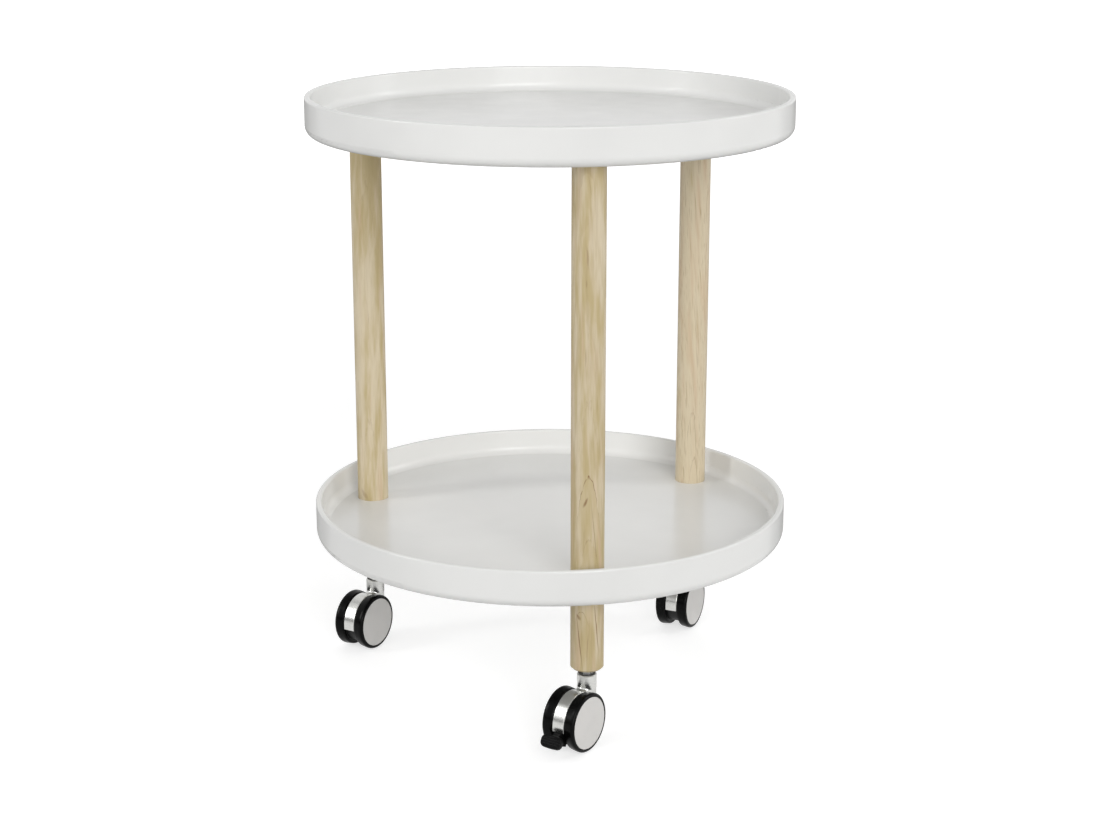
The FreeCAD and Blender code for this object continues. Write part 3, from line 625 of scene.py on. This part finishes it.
class Softbox(NamedTuple):
    """An area light: where it stands, how wide and high it is, its power and whether reflections show it."""

    place: tuple
    width: float
    height: float
    watts: float
    mirrored: bool = True


# Light that the world gives the cart, at the horizon and straight above, where 1 is white.
HORIZON_LIGHT = 0.58
ZENITH_LIGHT = 0.28
# Colour of the floor, and how far its mottle is paler.
FLOOR_ALBEDO = 0.58
FLOOR_MOTTLE = 1.03
# Glow that whitens the floor where it shows, near the cart and far off, and where near ends and far begins.
FLOOR_GLOW_NEAR = 0.64
FLOOR_GLOW_FAR = 0.9
FLOOR_NEAR = 1.2
FLOOR_FAR = 4.5
FLOOR_SIDES = 128
LIGHT_AIM = (0, 0, 0.35)
SOFTBOXES = {
    "front_softbox": Softbox(place=(0.9, -6, 3.4), width=3, height=2.6, watts=122),
    "low_softbox": Softbox(place=(0.2, -6.2, 1.7), width=3.4, height=1.4, watts=90),
    "left_softbox": Softbox(place=(-2.3, -0.25, 1.35), width=0.45, height=1.3, watts=13.5),
    "right_softbox": Softbox(place=(2.3, -0.2, 1.35), width=0.45, height=1.3, watts=9),
    "back_softbox": Softbox(place=(0.2, 6, 2.4), width=3, height=2, watts=62, mirrored=False),
}
# How far the cards on the floor reach back.
CARD_REACH = 12
SENSOR_WIDTH = 36
WHITE = (1, 1, 1, 1)


def grey(level):
    return level, level, level, 1


def seen_ray(tree):
    """1 for rays that show the studio itself: from the camera, in a reflection or through glass."""
    path = tree.node("ShaderNodeLightPath").socket.node
    camera, glossy, through = (Wire(tree, path.outputs[f"Is {ray} Ray"])
                               for ray in ("Camera", "Glossy", "Transmission"))
    total = camera + glossy + through
    return total.math("MINIMUM", total, 1.0)


def stage_object(name, data):
    piece = bpy.data.objects.new(name, data)
    bpy.context.scene.collection.objects.link(piece)
    return piece


def flat_mesh(name, corners):
    """Mesh of one flat face."""
    mesh = bpy.data.meshes.new(name)
    mesh.from_pydata(corners, [], [range(len(corners))])
    return mesh


def disc_corners(radius):
    turns = [2 * math.pi * side / FLOOR_SIDES for side in range(FLOOR_SIDES)]
    return [(radius * math.cos(turn), radius * math.sin(turn), 0) for turn in turns]


def turn_towards(place, aim):
    """Turn that makes a light or a card at a place face a point."""
    return (Vector(aim) - Vector(place)).to_track_quat("-Z", "Y")


def facing_corners(centre, aim, width, height):
    """Corners of a rectangle about a centre that faces a point."""
    turn = turn_towards(centre, aim)
    x, y = width / 2, height / 2
    flat = [Vector((-x, -y, 0)), Vector((x, -y, 0)), Vector((x, y, 0)), Vector((-x, y, 0))]
    return [Vector(centre) + turn @ corner for corner in flat]


def wedge_corners(near_left, near_right, left_turn, right_turn, height):
    """Corners of a wedge on the floor that spreads out behind the cart, by degrees from straight back."""
    corners = [(*near_left, height), (*near_right, height)]
    for (x, y), turn in ((near_right, right_turn), (near_left, -left_turn)):
        way = math.radians(turn)
        corners.append((x + CARD_REACH * math.sin(way), y + CARD_REACH * math.cos(way), height))
    return corners


def add_card(name, corners, level):
    """Lay out a grey card that only reflections see."""
    mesh = flat_mesh(name, corners)
    piece = stage_object(name, mesh)
    material = bpy.data.materials.new(name)
    material.use_nodes = True
    tree = Tree(material.node_tree)
    glow = tree.node("ShaderNodeEmission", None, {"Color": grey(level), "Strength": 1.0})
    tree.feed(tree.nodes["Material Output"].inputs["Surface"], glow)
    mesh.materials.append(material)
    for ray in ("camera", "diffuse", "shadow", "transmission"):
        setattr(piece, f"visible_{ray}", False)


def add_softbox(name, box):
    """Stand an area light so that it faces the cart."""
    lamp = bpy.data.lights.new(name, "AREA")
    lamp.shape = "RECTANGLE"
    lamp.size = box.width
    lamp.size_y = box.height
    lamp.energy = box.watts
    piece = stage_object(name, lamp)
    piece.visible_camera = False
    piece.visible_glossy = box.mirrored
    piece.location = box.place
    piece.rotation_mode = "QUATERNION"
    piece.rotation_quaternion = turn_towards(box.place, LIGHT_AIM)


class CART_OT_stage(CartOperator, bpy.types.Operator):
    """Set up the white studio, its soft lights and the camera"""

    bl_idname = "cart.stage"
    bl_label = "Stage"

    def execute(self, context):
        self.make_world(context.scene)
        self.make_floor(context.scene.cart_sizes.floor_radius)
        self.make_lights()
        self.make_camera(context.scene)
        context.scene.view_settings.view_transform = "Standard"
        return {"FINISHED"}

    def make_world(self, scene):
        scene.world = bpy.data.worlds.new("studio")
        scene.world.use_nodes = True
        tree = Tree(scene.world.node_tree)
        upward = tree.height(tree.node("ShaderNodeTexCoord", output="Generated"))
        soft = HORIZON_LIGHT - (HORIZON_LIGHT - ZENITH_LIGHT) * upward
        level = soft + seen_ray(tree) * (1 - soft)
        tree.feed(tree.nodes["Background"].inputs["Color"], WHITE)
        tree.feed(tree.nodes["Background"].inputs["Strength"], level)

    def make_floor(self, radius):
        mesh = flat_mesh("studio_floor", disc_corners(radius))
        finish = Finish("studio_floor")
        mottle = finish.noise(finish.place, same(3), detail=2)
        colour = finish.blend(mottle, grey(FLOOR_ALBEDO), grey(FLOOR_ALBEDO * FLOOR_MOTTLE))
        finish.set(base_color=colour, roughness=0.9, specular_ior_level=0.0)
        far = finish.smooth(finish.length(finish.place), FLOOR_NEAR, FLOOR_FAR)
        strength = seen_ray(finish) * (FLOOR_GLOW_NEAR + (FLOOR_GLOW_FAR - FLOOR_GLOW_NEAR) * far)
        glow = finish.node("ShaderNodeEmission", None, {"Color": WHITE, "Strength": strength})
        lit = Wire(finish, finish.shader.outputs[0])
        both = finish.node("ShaderNodeAddShader", None, {0: lit, 1: glow})
        finish.feed(finish.nodes["Material Output"].inputs["Surface"], both)
        mesh.materials.append(finish.material)
        stage_object("studio_floor", mesh)

    def make_lights(self):
        for name, box in SOFTBOXES.items():
            add_softbox(name, box)
        overhead = facing_corners((0, 0, 2.4), LIGHT_AIM, width=3.2, height=3.2)
        add_card("overhead_card", overhead, level=0.62)
        low = facing_corners((-1.7, -0.5, 0.16), (0, -0.2, 0.1), width=1.6, height=0.3)
        add_card("low_card", low, level=0.1)
        wide = wedge_corners((-0.4, 0.2), (0.45, 0.05), left_turn=33, right_turn=56, height=0.002)
        add_card("wide_floor_card", wide, level=0.45)
        dark = wedge_corners((-0.28, 0.35), (0.38, 0.12), left_turn=17, right_turn=37, height=0.003)
        add_card("dark_floor_card", dark, level=0.25)

    def make_camera(self, scene):
        sizes = scene.cart_sizes
        lens = bpy.data.cameras.new("photo_camera")
        lens.lens = sizes.lens
        lens.sensor_width = SENSOR_WIDTH
        camera = stage_object("photo_camera", lens)
        camera.location = sizes.camera_place
        turn, pitch = sizes.camera_azimuth, sizes.camera_pitch
        level = math.cos(pitch)
        forward = Vector((-math.sin(turn) * level, math.cos(turn) * level, -math.sin(pitch)))
        camera.rotation_mode = "QUATERNION"
        camera.rotation_quaternion = forward.to_track_quat("-Z", "Y")
        scene.camera = camera


OPERATORS = (CART_OT_trays, CART_OT_legs, CART_OT_joinery, CART_OT_casters, CART_OT_wheels, CART_OT_brake,
             CART_OT_stage)


class CART_PT_panel(bpy.types.Panel):
    """Lists the cart's settings and operators"""

    bl_idname = "CART_PT_panel"
    bl_label = "Serving Cart"
    bl_space_type = "VIEW_3D"
    bl_region_type = "UI"
    bl_category = "Cart"

    def draw(self, context):
        for settings in (context.scene.cart_colours, context.scene.cart_sizes):
            column = self.layout.column()
            for name in settings.__annotations__:
                column.prop(settings, name)
        for operator in OPERATORS:
            self.layout.operator(operator.bl_idname)


CLASSES = (CartColours, CartSizes, *OPERATORS, CART_PT_panel)


def register():
    for item in CLASSES:
        bpy.utils.register_class(item)
    bpy.types.Scene.cart_colours = bpy.props.PointerProperty(type=CartColours)
    bpy.types.Scene.cart_sizes = bpy.props.PointerProperty(type=CartSizes)


def unregister():
    del bpy.types.Scene.cart_sizes
    del bpy.types.Scene.cart_colours
    for item in reversed(CLASSES):
        bpy.utils.unregister_class(item)


def main():
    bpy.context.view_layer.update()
    register()
    bpy.ops.cart.trays()
    bpy.ops.cart.legs()
    bpy.ops.cart.joinery()
    bpy.ops.cart.casters()
    bpy.ops.cart.wheels()
    bpy.ops.cart.brake()
    bpy.ops.cart.stage()


if __name__ == "__main__":
    main()
